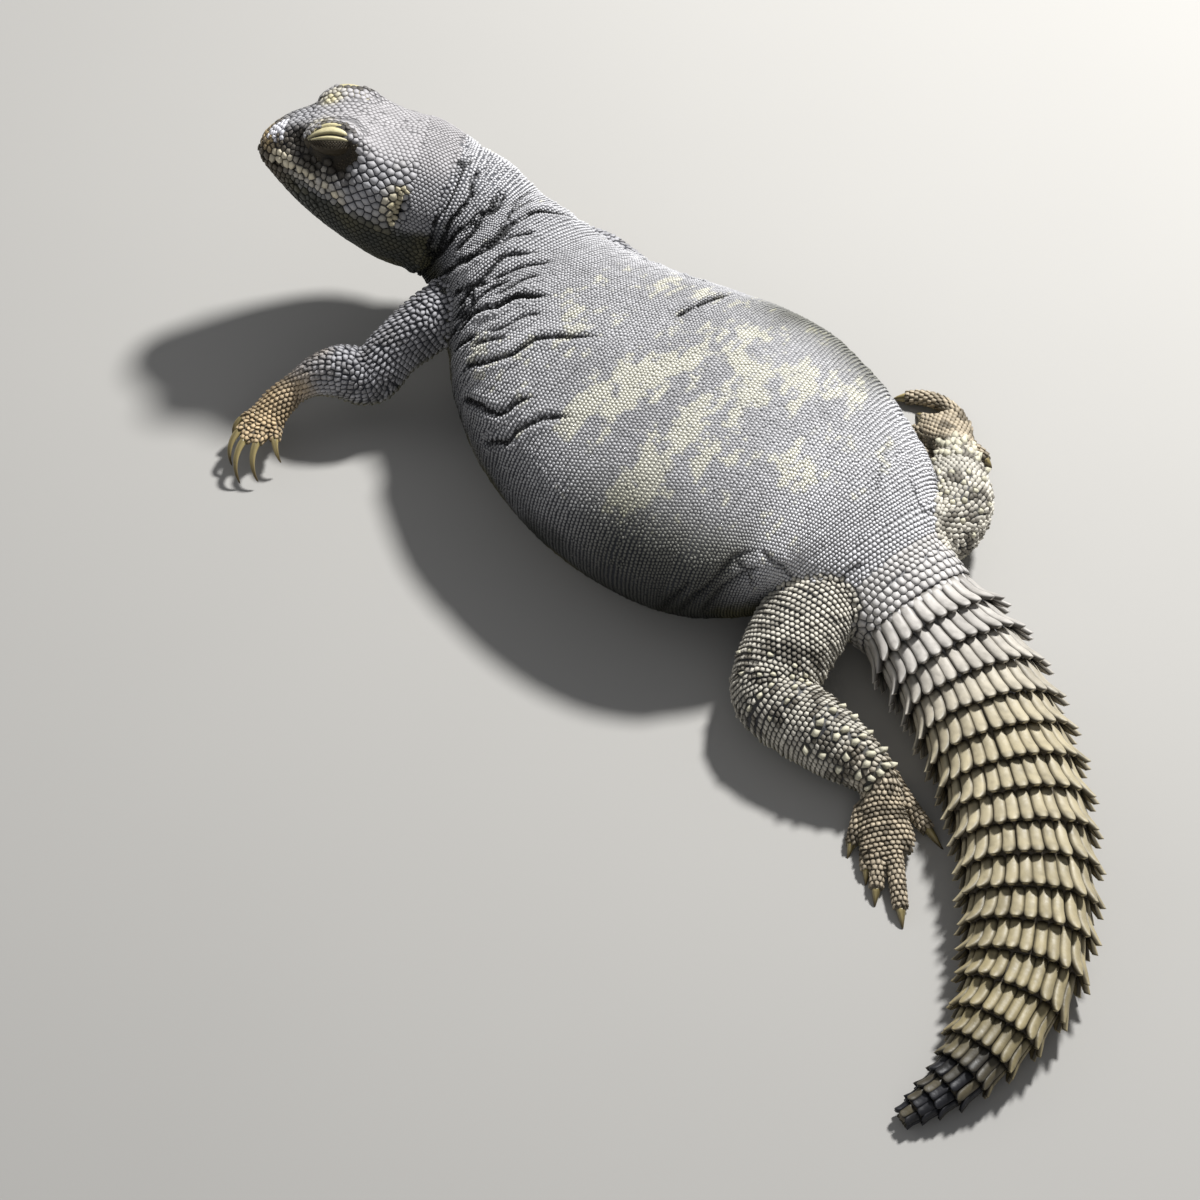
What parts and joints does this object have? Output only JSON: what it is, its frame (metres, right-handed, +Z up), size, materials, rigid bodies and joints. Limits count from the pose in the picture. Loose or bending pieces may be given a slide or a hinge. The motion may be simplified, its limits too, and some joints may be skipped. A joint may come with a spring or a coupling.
{
  "type": "uromastyx lizard, life-size resting model",
  "caption": "Life-size still model of a large uromastyx resting on its belly, head raised and turned to its left, legs spread and its whorled spiny tail curved round to the left.",
  "frame": {"origin": "on the floor under the middle of the belly, on the flat that the animal lies on", "axes": "+Z up; -X towards the head end of the trunk; -Y to the animal's left side"},
  "size_m": [0.5128, 0.287, 0.115],
  "materials": {
    "skin": "dry slate-grey bead-scaled skin with cream blotches",
    "tail_scutes": "khaki and cream horny scutes with dark gaps",
    "feet": "yellow-brown keeled scales",
    "claw_horn": "olive-brown polished horn",
    "eye": "wet dark brown"
  },
  "bodies": {
    "root": {"claw_foreleg_left_1": "claw_horn", "claw_foreleg_left_2": "claw_horn", "claw_foreleg_left_3": "claw_horn", "claw_foreleg_left_4": "claw_horn", "claw_foreleg_left_5": "claw_horn", "claw_foreleg_right_1": "claw_horn", "claw_foreleg_right_2": "claw_horn", "claw_foreleg_right_3": "claw_horn", "claw_foreleg_right_4": "claw_horn", "claw_foreleg_right_5": "claw_horn", "claw_hindleg_left_1": "claw_horn", "claw_hindleg_left_2": "claw_horn", "claw_hindleg_left_3": "claw_horn", "claw_hindleg_left_4": "claw_horn", "claw_hindleg_left_5": "claw_horn", "claw_hindleg_right_1": "claw_horn", "claw_hindleg_right_2": "claw_horn", "claw_hindleg_right_3": "claw_horn", "claw_hindleg_right_4": "claw_horn", "claw_hindleg_right_5": "claw_horn", "eye_left": "eye", "eye_right": "eye", "foreleg_left_hand": "feet", "foreleg_left_lower": "skin", "foreleg_left_upper": "skin", "foreleg_right_hand": "feet", "foreleg_right_lower": "skin", "foreleg_right_upper": "skin", "head": "skin", "hindleg_left_foot": "feet", "hindleg_left_shin": "skin", "hindleg_left_thigh": "skin", "hindleg_right_foot": "feet", "hindleg_right_shin": "skin", "hindleg_right_thigh": "skin", "neck": "skin", "tail_1": "tail_scutes", "tail_2": "tail_scutes", "tail_3": "tail_scutes", "tail_4": "tail_scutes", "tail_5": "tail_scutes", "torso": "skin"}
  },
  "joints": []
}
